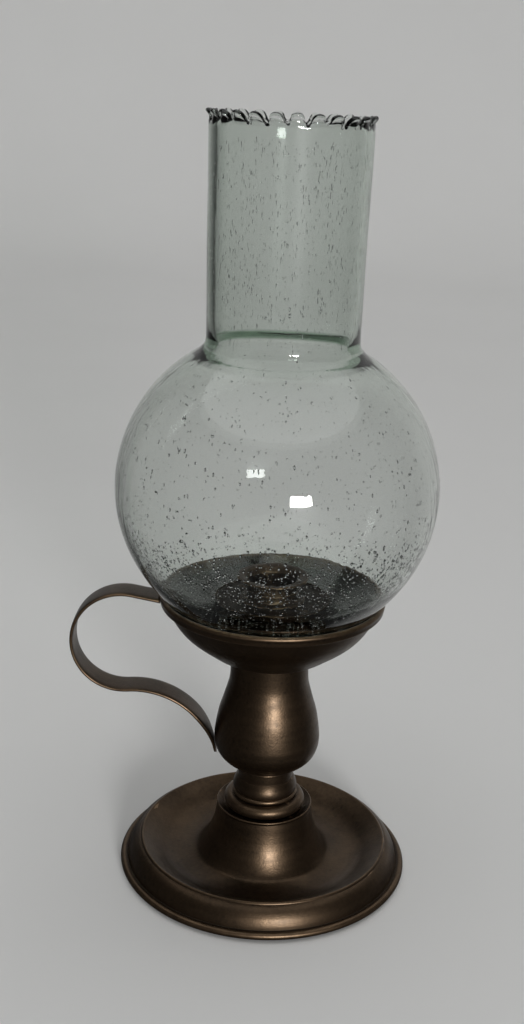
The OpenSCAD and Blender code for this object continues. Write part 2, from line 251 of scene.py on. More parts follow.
def patina_group():
    """Mottling of old bronze: Tone for the cloudy colour, Specks for small dark spots."""
    group, result = shader_group("Patina", "Tone", "Specks")
    place = put(group, "TexCoord").outputs["Object"]
    clouds = noise(group, place, 38, 7, 0.62, distortion=0.4)
    grain = noise(group, place, 520, 5, 0.7)
    tone = maths(group, "ADD", clouds, spread(group, grain, 0.3, 0.7, -0.10, 0.10))
    spots = put(group, "TexVoronoi", {"Vector": place, "Scale": 260, "Randomness": 1.0}).outputs["Distance"]
    small = spread(group, spots, 0.12, 0.26, 1, 0)
    here = spread(group, clouds, 0.45, 0.6, 1, 0)
    group.links.new(spread(group, tone, 0.25, 0.75), result.inputs["Tone"])
    group.links.new(maths(group, "MULTIPLY", small, here), result.inputs["Specks"])
    return group


def edge_wear_group():
    """Wear, where hands have rubbed the patina off edges, and Grime, where dirt stays in corners."""
    group, result = shader_group("Edge wear", "Wear", "Grime")
    sharp = put(group, "NewGeometry").outputs["Pointiness"]
    place = put(group, "TexCoord").outputs["Object"]
    patch = spread(group, noise(group, place, 160, 6, 0.7), 0.35, 0.6, 0.35, 1)
    rubbed = maths(group, "DIVIDE", maths(group, "SUBTRACT", sharp, 0.508), 0.03)
    group.links.new(maths(group, "MULTIPLY", rubbed, patch, clamp=True), result.inputs["Wear"])
    group.links.new(spread(group, sharp, 0.49, 0.455), result.inputs["Grime"])
    return group


def lathe_marks_group():
    """Fine rings left by the lathe and the polishing wheel: Height for a bump, Streaks for gloss."""
    group, result = shader_group("Lathe marks", "Height", "Streaks")
    place = put(group, "TexCoord").outputs["Object"]
    reach, tall = from_axis(group, place)
    ringed = put(group, "CombineXYZ", {0: reach, 1: tall}).outputs[0]
    fine = noise(group, ringed, 2600, 3, 0.6)
    fade = spread(group, noise(group, place, 9, 2), 0.35, 0.65, 0.4, 1)
    group.links.new(maths(group, "MULTIPLY", fine, fade), result.inputs["Height"])
    group.links.new(noise(group, ringed, 420, 4, 0.6), result.inputs["Streaks"])
    return group


patina = patina_group()
edge_wear = edge_wear_group()
lathe_marks = lathe_marks_group()


def bronze_finish(name, marks=True, gloss=0.37, shade=1.0, painted_shade_r=None):
    """Dark patinated bronze under thin lacquer. marks gives lathe rings, gloss is the roughness of clean
    metal, shade darkens it, and within the last argument's radius of the axis, in metres, what faces up is
    blackened as painted shade."""
    material, tree, out = new_material(name)
    place = put(tree, "TexCoord").outputs["Object"]
    old = put(tree, "Group", node_tree=patina).outputs
    worn = put(tree, "Group", node_tree=edge_wear).outputs
    bare = ((0.036, 0.024, 0.0145), (0.098, 0.064, 0.038), (0.30, 0.20, 0.12))
    dark, brown, rubbed = (tuple(shade * c for c in tone) for tone in bare)
    specks = spread(tree, old["Specks"], 0, 1, 0, 0.4)
    grime = spread(tree, worn["Grime"], 0, 1, 0, 0.75)
    colour = blend_colour(tree, old["Tone"], dark, brown)
    colour = blend_colour(tree, specks, colour, (0.014, 0.011, 0.008))
    colour = blend_colour(tree, grime, colour, (0.012, 0.009, 0.006))
    colour = blend_colour(tree, spread(tree, worn["Wear"], 0, 1, 0, 0.7), colour, rubbed)
    rough = spread(tree, old["Tone"], 0, 1, gloss + 0.08, gloss - 0.03)
    rough = maths(tree, "ADD", rough, spread(tree, worn["Grime"], 0, 1, 0, 0.25))
    metallic = 0.95
    # Painted shade: inside the dish, what faces up is blackened, rougher and less metallic, in place of the
    # shade that falls there under the globe.
    if painted_shade_r:
        up = put(tree, "SeparateXYZ", {0: put(tree, "NewGeometry").outputs["Normal"]}).outputs[2]
        inside = spread(tree, from_axis(tree, place)[0], painted_shade_r, painted_shade_r - 1.2 * MM)
        painted_shade = maths(tree, "MULTIPLY", spread(tree, up, 0.0, 0.15), inside)
        colour = blend_colour(tree, painted_shade, colour, (0.012, 0.011, 0.009))
        rough = maths(tree, "ADD", rough, spread(tree, painted_shade, 0, 1, 0, 0.38))
        metallic = spread(tree, painted_shade, 0, 1, metallic, 0.2)
    normal = put(tree, "Bump", {"Height": noise(tree, place, 1000, 4), "Strength": 0.5,
                                "Distance": 0.00012}).outputs["Normal"]
    if marks:
        rings = put(tree, "Group", node_tree=lathe_marks).outputs
        rough = maths(tree, "ADD", rough, spread(tree, rings["Streaks"], 0.3, 0.7, -0.05, 0.05))
        normal = put(tree, "Bump", {"Height": rings["Height"], "Strength": 0.25, "Distance": 0.00006,
                                    "Normal": normal}).outputs["Normal"]
    metal = put(tree, "BsdfPrincipled", {"Base Color": colour, "Metallic": metallic, "Roughness": rough,
                                         "Normal": normal, "Coat Weight": 0.08, "Coat Roughness": 0.3})
    tree.links.new(metal.outputs[0], out.inputs[0])
    return material


turned_bronze = bronze_finish("turned_bronze")

foot_low, foot_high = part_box("foot")
foot_r = foot_high.x / MM
foot_h = (foot_high.z - foot_low.z) / MM
seat_h = foot_h - 1.7
bore = 3.3
lip_r = 1.8
wall = 2.6
lip_roll = arc(foot_r - lip_r, lip_r, lip_r, -90, 12, 18)
band_top = smooth([(67.9, 3.3), (67.5, 5.2), (66.4, 8.0), (64.7, 10.6), (63.0, 12.1), (61.9, 12.65)], 6)
ridge = [(61.6, 12.7, 0.2), (61.45, 13.2, 0.3), (60.8, 13.75, 0.5), (59.9, 13.4, 0.6)]
pan = smooth([(59.2, 12.95), (54.9, 10.2), (49.4, 6.3), (44.5, 4.5), (40.0, 4.2), (36.2, 4.6), (33.4, 5.5),
              (31.6, 7.2), (30.2, 9.2), (28.6, 12.0), (26.9, 15.7), (25.4, 20.0), (24.3, 24.8),
              (23.6, 29.1), (23.3, seat_h + 0.1)], 6)
foot_top = [(23.45, seat_h + 0.6, 0.15), (23.75, foot_h - 0.35, 0.3), (23.3, foot_h, 0.2),
            (22.8, foot_h - 0.35, 0.3), (21.6, seat_h + 0.65, 0.6), (20.2, seat_h, 0.5), (bore, seat_h, 0.2)]
foot_inside = [(bore, seat_h - wall, 0.2), (20.6, seat_h - wall, 0.8)] + smooth(
    [(20.9, 25.8), (22.2, 20.0), (24.2, 14.2), (26.6, 9.4), (29.2, 5.2), (32.6, 2.6), (37.0, 1.6),
     (41.0, 1.5), (45.4, 1.9), (50.6, 3.8), (55.8, 7.2), (60.2, 10.4), (62.2, 9.4), (64.4, 6.0),
     (65.2, 3.2), (65.4, 0)], 5)
foot = turned("foot", lip_roll + band_top + ridge + pan + foot_top + foot_inside, foot_low.z, 256)
finish_with(foot, turned_bronze, "antique_bronze", "lamp", "foot")


# ---- Rod, nut and washers -----------------------------------------------------
# A zinc-plated steel rod runs up the middle. The plate washer and the split spring
# washer under the nut pull the whole stack together from inside the pedestal.

def steel_finish():
    """Zinc plating gone dull in patches, with dirt in its corners."""
    material, tree, out = new_material("zinc_plated_steel")
    bloom = noise(tree, put(tree, "TexCoord").outputs["Object"], 240, 6, 0.65)
    grime = spread(tree, put(tree, "Group", node_tree=edge_wear).outputs["Grime"], 0, 1, 0, 0.6)
    colour = blend_colour(tree, spread(tree, bloom, 0.3, 0.7), (0.36, 0.36, 0.34), (0.56, 0.56, 0.55))
    colour = blend_colour(tree, grime, colour, (0.08, 0.07, 0.06))
    dents = put(tree, "Bump", {"Height": bloom, "Strength": 0.2, "Distance": 0.0001}).outputs["Normal"]
    steel = put(tree, "BsdfPrincipled", {"Base Color": colour, "Metallic": 1.0, "Normal": dents,
                                         "Roughness": spread(tree, bloom, 0.3, 0.7, 0.28, 0.45)})
    tree.links.new(steel.outputs[0], out.inputs[0])
    return material


steel = steel_finish()
for fastener in ("plate_washer", "spring_washer", "base_nut", "tie_rod"):
    cad_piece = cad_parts[fastener]
    cad_piece.data.materials.clear()
    cad_piece.data.materials.append(steel)


# ---- Bead ring ----------------------------------------------------------------
# A separate turned ring, fully rounded on the outside, which sits in the seat on
# top of the pedestal.

low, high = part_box("bead_ring")
ring_r = high.x / MM
bead_h = (high.z - low.z) / MM
round_r = bead_h / 2
bulge = arc(ring_r - round_r, round_r, round_r, -84, 12, 15)
bead_ring = turned("bead_ring", [(bore, 0, 0.2), (ring_r - round_r, 0)] + bulge
                   + [(ring_r - round_r, bead_h), (bore, bead_h, 0.2)], low.z)
finish_with(bead_ring, turned_bronze, "antique_bronze", "lamp", "bead_ring")


# ---- Collar -------------------------------------------------------------------
# A turned collar between the bead ring and the stem: a fine bead at its foot, a
# low dome, and a short straight neck.

low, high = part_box("collar")
collar_h = (high.z - low.z) / MM
fine_bead = arc(14.9, 1.2, 1.2, -80, 16, 11)
dome = smooth([(15.1, 2.5), (15.7, 3.0), (15.8, 4.6), (15.45, 6.4), (14.6, 8.3), (13.9, 9.5)], 5)
collar_neck = [(13.6, 9.7, 0.2), (13.6, collar_h - 0.6, 0.2), (13.3, collar_h, 0.2), (bore, collar_h, 0.2)]
collar = turned("collar", [(bore, 0, 0.2), (14.8, 0)] + fine_bead + [(14.7, 2.45, 0.1)] + dome + collar_neck,
                low.z)
finish_with(collar, turned_bronze, "antique_bronze", "lamp", "collar")


# ---- Stem ---------------------------------------------------------------------
# A hollow vase-shaped casting: a round belly low down, drawn in to a long neck
# under the dish. This is where the lamp is held, so its patina is rubbed.

low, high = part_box("stem")
stem_h = (high.z - low.z) / MM
stem_foot_z = low.z
stem_side = smooth([(14.0, 0), (16.4, 1.3), (20.6, 4.3), (23.7, 7.6), (25.3, 11.4), (25.88, 15.2),
                    (25.75, 19.0), (25.0, 24.2), (23.9, 29.9), (22.2, 35.4), (20.5, 41.2), (19.35, 45.8),
                    (18.95, 50.4), (18.9, stem_h - 1.6), (18.9, stem_h - 0.5)], 7)
stem_hollow = smooth([(11.5, 4.0), (16.5, 5.6), (21.0, 10.0), (23.2, 15.5), (22.6, 23.0), (20.3, 33.5),
                      (17.4, 43.0), (16.3, 50.0), (16.0, stem_h - 4)], 4)
stem_top = [(18.6, stem_h, 0.1), (bore, stem_h, 0.2), (bore, stem_h - 4, 0.2)]
stem = turned("stem", [(bore, 0, 0.2), (13.6, 0, 0.1)] + stem_side + stem_top + stem_hollow[::-1]
              + [(bore, 4, 0.2)], low.z)
finish_with(stem, turned_bronze, "antique_bronze", "lamp", "stem")


# ---- Dish ---------------------------------------------------------------------
# A turned dish with a thick floor. Its sides rise to a plain band with a groove
# under it and a rolled edge on top, in which the glass globe nests.

low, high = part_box("dish")
dish_h = (high.z - low.z) / MM
dish_r = high.x / MM
roll = 1.4
floor_h = 8.0
dish_side = smooth([(20.2, 0.3), (24.4, 1.2), (28.6, 3.2), (33.3, 6.6), (38.0, 10.1), (42.2, 13.7),
                    (45.6, 17.6), (48.0, 21.4), (49.6, 24.6), (50.1, 26.1)], 6)
dish_band = [(50.3, 26.6, 0.2), (51.9, 26.7, 0.3), (53.2, 27.2, 0.5), (53.4, 28.8, 0.3)]
rim_roll = arc(dish_r - roll, dish_h - roll, roll, -30, 15, 15)
dish_inside = smooth([(50.6, 27.6), (49.9, 25.2), (48.2, 22.8), (45.2, 19.0), (41.4, 15.0), (36.8, 11.2),
                      (33.0, 9.0), (28.0, floor_h + 0.1)], 5)
dish = turned("dish", [(bore, 0, 0.2), (20.0, 0, 0.2)] + dish_side + dish_band + rim_roll + dish_inside
              + [(20, floor_h), (bore, floor_h, 0.2)], low.z, around=224)
# The dish's inside gets painted shade: it is blackened where it faces up inside the rim.
finish_with(dish, bronze_finish("dish_bronze_painted_shade", painted_shade_r=51.2 * MM), "antique_bronze", "lamp", "dish")


# ---- Riser --------------------------------------------------------------------
# A plain turned tube that stands on the dish's floor and holds up the drip pan.

low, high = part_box("riser")
riser_h = (high.z - low.z) / MM
riser_r = high.x / MM
# Painted shade: the riser and the drip pan stand inside the globe, so they get a much darker, rougher copy
# of the bronze in place of the shade there.
bronze_painted_shade = bronze_finish("bronze_painted_shade", shade=0.22, gloss=0.58)
riser_bore, waist = 12.4, 0.5
riser = turned("riser", [(riser_bore, 0, 0.2), (riser_r, 0, 0.3), (riser_r, 1.6, 0.2),
                         (riser_r - waist, 2.0, 0.2), (riser_r - waist, riser_h - 2.0, 0.2),
                         (riser_r, riser_h - 1.6, 0.2), (riser_r, riser_h, 0.3),
                         (riser_bore, riser_h, 0.2)], low.z, around=128)
finish_with(riser, bronze_painted_shade, "antique_bronze", "lamp", "riser")


# ---- Drip pan -----------------------------------------------------------------
# A spun sheet disc with a turned-up, beaded edge, clamped under the candle socket.

low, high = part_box("drip_pan")
pan_r = high.x / MM
edge_r, sheet_t = 0.5, 0.95
beaded_edge = arc(pan_r - edge_r, 1.1, edge_r, -60, 20, 13)
drip_pan = turned("drip_pan", [(riser_bore, 0, 0.1), (pan_r - 4, 0, 0.6), (pan_r - 0.8, 0.5, 0.3)]
                  + beaded_edge + [(pan_r - 1.3, 1.25, 0.3), (pan_r - 4.3, sheet_t, 0.6),
                                   (riser_bore, sheet_t, 0.1)], low.z, around=160)
finish_with(drip_pan, bronze_painted_shade, "antique_bronze", "lamp", "drip_pan")


# ---- Candle socket ------------------------------------------------------------
# A drawn cup with a spun flange, screwed down on the rod. A beaded ring round it
# clamps the drip pan, and its mouth opens out so that a candle finds its way in.

low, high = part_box("candle_socket")
mouth = (high.z - low.z) / MM
ledge = (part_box("drip_pan")[0].z + 0.001 - low.z) / MM
cup_floor = 3.6
flange_r = high.x / MM
socket = turned("candle_socket", [
    (3.1, 0, 0.1), (11.6, 0, 0.5), (12.1, 0.6, 0.2), (12.1, ledge, 0), (15.1, ledge, 0.3),
    (15.5, ledge + 0.5, 0.3), (15.1, ledge + 1.0, 0.2), (13.6, ledge + 1.15, 0.2), (12.3, ledge + 1.6, 0.4),
    (12.1, ledge + 2.4, 0.3), (12.1, ledge + 4.6, 0.2), (12.5, ledge + 4.9, 0.2), (12.5, ledge + 5.5, 0.2),
    (12.1, ledge + 5.8, 0.2),
    (12.1, mouth - 3.6, 0.6), (12.7, mouth - 2.2, 0.8), (flange_r - 1.2, mouth - 1.2, 0.3),
    (flange_r, mouth - 0.8, 0.4), (flange_r - 0.3, mouth - 0.05, 0.3), (flange_r - 2.2, mouth - 0.1, 0.4),
    (13.0, mouth - 0.5, 0.8), (11.2, mouth - 2.8, 0.6), (11.2, cup_floor, 0.6), (3.1, cup_floor, 0.1)
], low.z, around=160)
# Painted shade: the socket inside the globe gets a darker, rougher copy of the bronze in place of the shade
# there.
socket_bronze_painted_shade = bronze_finish("socket_bronze_painted_shade", shade=0.6, gloss=0.48)
finish_with(socket, socket_bronze_painted_shade, "antique_bronze", "lamp", "candle_socket")


# ---- Handle -------------------------------------------------------------------
# A flat bronze strap with rounded edges, bent into a finger loop and brazed to the
# dish's band at the top. It sweeps back under the loop to a tapered tip, which is
# brazed to the belly of the stem.

def outline_r(side, height):
    """Radius, in millimetres, of a turned side at a height above its foot."""
    for a, b in zip(side, side[1:]):
        if a.y <= height <= b.y:
            return a.x + (b.x - a.x) * (height - a.y) / (b.y - a.y)
    return side[-1].x


low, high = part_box("handle")
strap_w = (high.y - low.y) / MM
strap_t = 2.0
strap_sides = 36
tip_w, tip_taper, tip_round = 6.4, 24, 3
loop_r = 24.8
loop_x = low.x / MM + loop_r + strap_t / 2
loop_z = high.z / MM - loop_r - strap_t / 2
bend_z = stem_foot_z / MM
tip_z = bend_z + 5
touch_z = tip_z + 6.5
braze = 0.12
touch_r = outline_r(stem_side, touch_z - bend_z) + braze
small, large = touch_z - bend_z, 90.0
for halving in range(40):
    bend_r = (small + large) / 2
    bend_x = -touch_r - math.sqrt((bend_r + strap_t / 2) ** 2 - (touch_z - bend_z) ** 2)
    if math.hypot(bend_x - loop_x, bend_z - loop_z) > loop_r + bend_r:
        small = bend_r
    else:
        large = bend_r
join_turn = math.atan2(loop_z - bend_z, loop_x - bend_x)
tip_turn = math.asin((tip_z - bend_z) / bend_r)
rise = math.radians(80)
band_reach = dish_r - 0.4 + 0.08
arm_steps, loop_steps, sweep_steps = 12, 72, 64

way = []
arm_start = Vector((loop_x + loop_r * math.cos(rise), loop_z + loop_r * math.sin(rise)))
arm_out = Vector((math.sin(rise), -math.cos(rise)))
arm_length = (-band_reach - arm_start.x) / arm_out.x
for k in range(arm_steps):
    way.append((arm_start + arm_out * arm_length * (1 - k / arm_steps), -arm_out))
for k in range(loop_steps + 1):
    a = rise + (math.pi + join_turn - rise) * k / loop_steps
    way.append((Vector((loop_x + loop_r * math.cos(a), loop_z + loop_r * math.sin(a))),
                Vector((-math.sin(a), math.cos(a)))))
for k in range(1, sweep_steps + 1):
    a = join_turn + (tip_turn - join_turn) * k / sweep_steps
    way.append((Vector((bend_x + bend_r * math.cos(a), bend_z + bend_r * math.sin(a))),
                Vector((math.sin(a), -math.cos(a)))))
travel = [0.0]
for (before, _), (after, _) in zip(way, way[1:]):
    travel.append(travel[-1] + (after - before).length)
whole = travel[-1]

bm = bmesh.new()
rings = []
for (spot, ahead), gone in zip(way, travel):
    left = whole - gone
    taper = min(1, max(0, left / tip_taper))
    width = tip_w + (strap_w - tip_w) * (3 * taper ** 2 - 2 * taper ** 3)
    if left < tip_round:
        width *= math.sqrt(max(0.03, 1 - (1 - left / tip_round) ** 2))
    thick = strap_t * (0.62 + 0.38 * min(1, left / 14))
    flare = 1 + 0.25 * max(0, 1 - gone / 2.5) ** 2
    out = Vector((ahead.y, -ahead.x))
    ring = []
    for k in range(strap_sides):
        a = 2 * math.pi * k / strap_sides
        c, s = math.cos(a), math.sin(a)
        across = width / 2 * math.copysign(abs(c) ** 0.32, c)
        crown = 1 - 0.10 * (2 * across / width) ** 2
        corner = spot + out * (thick / 2 * flare * math.copysign(abs(s) ** 0.55, s) * crown)
        x = corner.x if gone else -math.sqrt(band_reach ** 2 - across ** 2)
        ring.append(bm.verts.new((x * MM, across * MM, corner.y * MM)))
    rings.append(ring)
for ring, following in zip(rings, rings[1:]):
    for k in range(strap_sides):
        m = (k + 1) % strap_sides
        bm.faces.new((ring[k], ring[m], following[m], following[k]))
bm.faces.new(list(reversed(rings[0])))
bm.faces.new(rings[-1])
bmesh.ops.recalc_face_normals(bm, faces=bm.faces)
handle = as_piece("handle", bm)
strap_bronze = bronze_finish("strap_bronze", marks=False, gloss=0.34, shade=0.85)
finish_with(handle, strap_bronze, "antique_bronze", "lamp", "handle")


# ---- Glass chimney ------------------------------------------------------------
# One piece of blown, seeded glass: a short base neck, a globe, a straight tube and
# a rim crimped while it was hot. Small bubbles are trapped in its wall, drawn out
# along it by the blowing. It stands loose in the dish and lifts straight off.

low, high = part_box("glass_chimney")
base_z, top_z = low.z / MM, high.z / MM
globe_r = high.y / MM
globe_half_h = 0.977 * globe_r
above_dish = 53.35
globe_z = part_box("dish")[1].z / MM + above_dish
base_r = 31.0
tube_r = 34.7
rim_r = 35.6
neck_z = globe_z + globe_half_h * math.sqrt(1 - (tube_r / globe_r) ** 2)
thick_base, thick_globe, thick_tube = 2.6, 1.6, 3.5
neck_fold, heavy_bottom = 1.6, 1.4
base_edge = 0.5
crimps, crimp_steps = 25, 16
crimp_h = 8.0
lobe_out, dip_in = 1.8, 1.9
rim_above, rim_lean = 0.4, 0.5
bead_r, under_bead = 1.25, 0.9
columns = crimps * crimp_steps // 2


def glass_wall(z):
    """Thickness of the glass: thin at the globe's widest, thick at the neck's fold, and heavy low down."""
    off = min(1, abs(z - globe_z) / (0.9 * globe_half_h))
    end = thick_base if z < globe_z else thick_tube
    return (thick_globe + (end - thick_globe) * off ** 3
            + neck_fold * math.exp(-((z - neck_z - 1) / 2.8) ** 2)
            + heavy_bottom * math.exp(-((z - globe_z + 55) / 8) ** 2))


def wave(a, z):
    """Slow unevenness of hand-blown glass, in millimetres."""
    return (0.10 * math.sin(2 * a + 0.02 * z) + 0.07 * math.sin(3 * a - 0.05 * z + 1)
            + 0.05 * math.sin(5 * a + 0.11 * z + 2))


def glass_line(steps):
    """The glass's outer face from its base to the crimp: points, in millimetres, and outward directions."""
    start = math.asin(base_r / globe_r)
    end = math.asin(tube_r / globe_r)
    low_turn, high_turn = -math.pi / 2 + start + 0.05, math.pi / 2 - end - 0.05
    hole_z = globe_z - globe_half_h * math.cos(start)
    points = [(base_r, base_z + base_edge), (base_r, base_z + 4), (base_r + 0.1, hole_z - 1.2)]
    points += [(globe_r * math.cos(a), globe_z + globe_half_h * math.sin(a))
               for a in (low_turn + (high_turn - low_turn) * k / steps for k in range(steps + 1))]
    points += [(tube_r + 1.5, neck_z + 0.2), (tube_r + 0.5, neck_z + 1.5), (tube_r + 0.1, neck_z + 3.4)]
    tube_z, tube_steps = neck_z + 7, 12
    for k in range(tube_steps + 1):
        points.append((tube_r + (rim_r - tube_r) * k / tube_steps,
                       tube_z + (top_z - crimp_h - tube_z) * k / tube_steps))
    way = [Vector(p) for p in points]
    line = []
    for before, here, after in zip(way[:1] + way, way, way[1:] + way[-1:]):
        step = after - before
        line.append((here, Vector((step.y, -step.x)).normalized()))
    return line


def glass_ring(bm, r, z, wobble):
    """A ring of points round the glass; wobble is how much of the unevenness it has."""
    ring = []
    for k in range(columns):
        a = 2 * math.pi * k / columns
        reach = r + wobble * wave(a, z)
        ring.append(bm.verts.new((reach * math.cos(a) * MM, reach * math.sin(a) * MM, z * MM)))
    return ring


rim_shape = random.Random(7)
lobe_push = [rim_shape.uniform(0.8, 1.15) for k in range(crimps)]
lobe_drop = [rim_shape.uniform(0.0, 0.4) for k in range(crimps)]
dip_drop = [rim_shape.uniform(3.9, 5.0) for k in range(crimps)]
dip_skew = [rim_shape.uniform(-0.1, 0.5) for k in range(crimps)]


def crimp(height, k):
    """Angle, radius and level of the crimped wall's middle, at a height from 0 to 1 and at column k."""
    lobe, step = divmod(k, crimp_steps)
    phase = 2 * math.pi * step / crimp_steps
    near = lobe if phase <= math.pi else (lobe + 1) % crimps
    grown = height ** 3
    dip = (1 - math.cos(phase)) / 2
    turn = phase + grown * (0.52 * math.sin(phase) + 0.34 * math.sin(2 * phase) + dip_skew[lobe] * dip ** 2)
    a = 2 * math.pi * (lobe + turn / (2 * math.pi)) / crimps
    r = rim_r - thick_tube / 2 + grown * ((1 - dip) * lobe_out * lobe_push[near] - dip * dip_in)
    z = top_z + rim_above - crimp_h + height * (crimp_h - bead_r)
    z -= grown * (dip * dip_drop[lobe] + (1 - dip) * lobe_drop[near])
    return a, r, z - grown * rim_lean * (1 + math.cos(a))


def crimp_half(height):
    """Half of the crimped wall's thickness at a height from 0 to 1: thin under the rounded bead on top."""
    thinned = min(1, max(0, (height - 0.35) / 0.4))
    swelled = max(0, (height - 0.75) / 0.25)
    return thick_tube / 2 + (under_bead - thick_tube / 2) * thinned + (bead_r - under_bead) * swelled


def crimped_ring(bm, height, through, lift=0.0):
    """A ring of points round the crimped wall, at through outside its middle and lift above it."""
    ring = []
    for k in range(2 * columns):
        a, r, z = crimp(height, k)
        reach = (r + through) * MM
        ring.append(bm.verts.new((reach * math.cos(a), reach * math.sin(a), (z + lift) * MM)))
    return ring


bm = bmesh.new()
line = glass_line(46)
rings = [glass_ring(bm, p.x, p.y, 0 if p.y < base_z + 8 or p.x > globe_r - 0.4 else 1) for p, out in line]
for k in range(1, 9):
    rings.append(crimped_ring(bm, k / 8, crimp_half(k / 8)))
for k in range(1, 8):
    turn = math.pi * k / 8
    rings.append(crimped_ring(bm, 1, bead_r * math.cos(turn), bead_r * math.sin(turn)))
for k in range(8, 0, -1):
    rings.append(crimped_ring(bm, k / 8, -crimp_half(k / 8)))
for p, out in reversed(line):
    inner = p - out * glass_wall(p.y)
    rings.append(glass_ring(bm, inner.x, inner.y, 0 if p.y < base_z + 8 else 0.6))
for k in range(1, 6):
    turn = math.pi * k / 6
    rings.append(glass_ring(bm, base_r - thick_base / 2 - thick_base / 2 * math.cos(turn),
                            base_z + base_edge - base_edge * math.sin(turn), 0))
for ring, above in zip(rings, rings[1:] + rings[:1]):
    if len(ring) == len(above):
        for k in range(len(ring)):
            m = (k + 1) % len(ring)
            bm.faces.new((ring[k], ring[m], above[m], above[k]))
        continue
    coarse, fine, upward = (ring, above, True) if len(ring) < len(above) else (above, ring, False)
    for k in range(columns):
        m = (k + 1) % columns
        faces = ((coarse[k], coarse[m], fine[2 * k + 1]), (coarse[k], fine[2 * k + 1], fine[2 * k]),
                 (coarse[m], fine[2 * m], fine[2 * k + 1]))
        for face in faces:
            bm.faces.new(face if upward else tuple(reversed(face)))

seeds = random.Random(11)
bubbles, bubble_sides = 7300, 4
for n in range(bubbles):
    pick = seeds.random()
    a = seeds.uniform(0, 2 * math.pi)
    if pick < 0.24:
        z = seeds.uniform(neck_z + 4, top_z - 12)
        size, stretch = 0.08 + 0.16 * seeds.random() ** 2, seeds.uniform(2.0, 7.0)
    elif pick < 0.50:
        z = globe_z - 38 + (globe_half_h * 0.87 + 38) * seeds.random()
        size, stretch = 0.12 + 0.36 * seeds.random() ** 2.5, seeds.uniform(1.2, 2.6)
    elif pick < 0.84:
        z = globe_z - 25 + 17 * (seeds.random() + seeds.random() + seeds.random() - 1.5)
        a = -math.pi / 2 + math.radians(85) * seeds.uniform(-1, 1)
        size, stretch = 0.16 + 0.46 * seeds.random() ** 2, seeds.uniform(1.0, 1.8)
    else:
        z = globe_z - 40 - (globe_half_h * 0.89 - 40) * seeds.random()
        size, stretch = 0.16 + 0.50 * seeds.random() ** 2, seeds.uniform(1.0, 1.7)
    wall_here = glass_wall(z)
    deep = seeds.uniform(0.35, 0.65) * wall_here
    size = min(size, 0.9 * (min(deep, wall_here - deep) - 0.08) / 0.8)
    if z < neck_z - 1:
        tilt = math.asin((z - globe_z) / globe_half_h)
        out = Vector((globe_half_h * math.cos(tilt), globe_r * math.sin(tilt))).normalized()
        spot = Vector((globe_r * math.cos(tilt), z)) - out * deep
    else:
        out = Vector((1, 0))
        spot = Vector((tube_r - deep + (rim_r - tube_r) * (z - neck_z) / (top_z - neck_z), z))
    along = Vector((-out.y, out.x))
    tail = seeds.uniform(-0.35, 0.35)
    lean = seeds.uniform(-0.12, 0.12)
    spin = Matrix.Rotation(a, 3, "Z")
    rows = []
    for row in range(4):
        t = math.pi * row / 3
        forward = -math.cos(t) * size * stretch
        fat = 1.1 * math.sin(t) * size * (1 + tail * math.cos(t))
        ring = []
        for k in range(bubble_sides if 0 < row < 3 else 1):
            turn = 2 * math.pi * (k + row / 2) / bubble_sides
            flat = spot + along * forward + out * (0.8 * fat * math.sin(turn))
            aside = fat * math.cos(turn) + lean * forward
            ring.append(bm.verts.new(spin @ Vector((flat.x, aside, flat.y)) * MM))
        rows.append(ring)
    for k in range(bubble_sides):
        m = (k + 1) % bubble_sides
        bm.faces.new((rows[0][0], rows[1][k], rows[1][m]))
        bm.faces.new((rows[1][m], rows[1][k], rows[2][k]))
        bm.faces.new((rows[1][m], rows[2][k], rows[2][m]))
        bm.faces.new((rows[2][m], rows[2][k], rows[3][0]))
chimney = as_piece("glass_chimney", bm)


def glass_finish():
    """Clear, slightly green glass with faint cords, a film of dust, and painted shade: a dark green ring at
    the neck.
    """
    material, tree, out = new_material("seeded_glass")
    place = put(tree, "TexCoord").outputs["Object"]
    pulled = put(tree, "Mapping", {"Vector": place, "Scale": (1, 1, 0.25)}).outputs["Vector"]
    ripple = put(tree, "Bump", {"Height": noise(tree, pulled, 85, 3), "Strength": 0.35,
                                "Distance": 0.0004}).outputs["Normal"]
    film = spread(tree, noise(tree, place, 30, 6, 0.65), 0.45, 0.75, 0.0, 0.06)
    face = put(tree, "NewGeometry").outputs
    parts = put(tree, "SeparateXYZ", {0: place}).outputs
    level = put(tree, "CombineXYZ", {0: parts[0], 1: parts[1]}).outputs[0]
    outward = put(tree, "VectorMath", {0: level, 1: face["Normal"]}, operation="DOT_PRODUCT").outputs[1]
    # Painted shade: the inner face of the neck's fold on the far side is tinted dark green, standing in for
    # the dark band that refraction shows there.
    above = spread(tree, parts[2], (neck_z - 5.0) * MM, (neck_z - 3.0) * MM)
    below = spread(tree, parts[2], (neck_z + 3.4) * MM, (neck_z + 1.4) * MM)
    within = spread(tree, outward, 0.0, -0.004)
    fold = maths(tree, "MULTIPLY", maths(tree, "MULTIPLY", above, below), within)
    painted_dark_ring = maths(tree, "SUBTRACT", fold, face["Backfacing"], clamp=True)
    tint = blend_colour(tree, painted_dark_ring, (1.0, 1.0, 1.0), (0.20, 0.32, 0.22))
    glass = put(tree, "BsdfPrincipled", {"Base Color": tint, "Transmission Weight": 1.0, "IOR": 1.5,
                                         "Roughness": film, "Normal": ripple})
    clear = put(tree, "BsdfTransparent", {"Color": (0.82, 0.86, 0.83, 1)})
    ray = put(tree, "LightPath").outputs["Is Shadow Ray"]
    surface = put(tree, "MixShader", {0: ray, 1: glass.outputs[0], 2: clear.outputs[0]})
    body = put(tree, "VolumeAbsorption", {"Color": (0.57, 0.68, 0.59, 1), "Density": 100.0})
    tree.links.new(surface.outputs[0], out.inputs["Surface"])
    tree.links.new(body.outputs[0], out.inputs["Volume"])
    return material


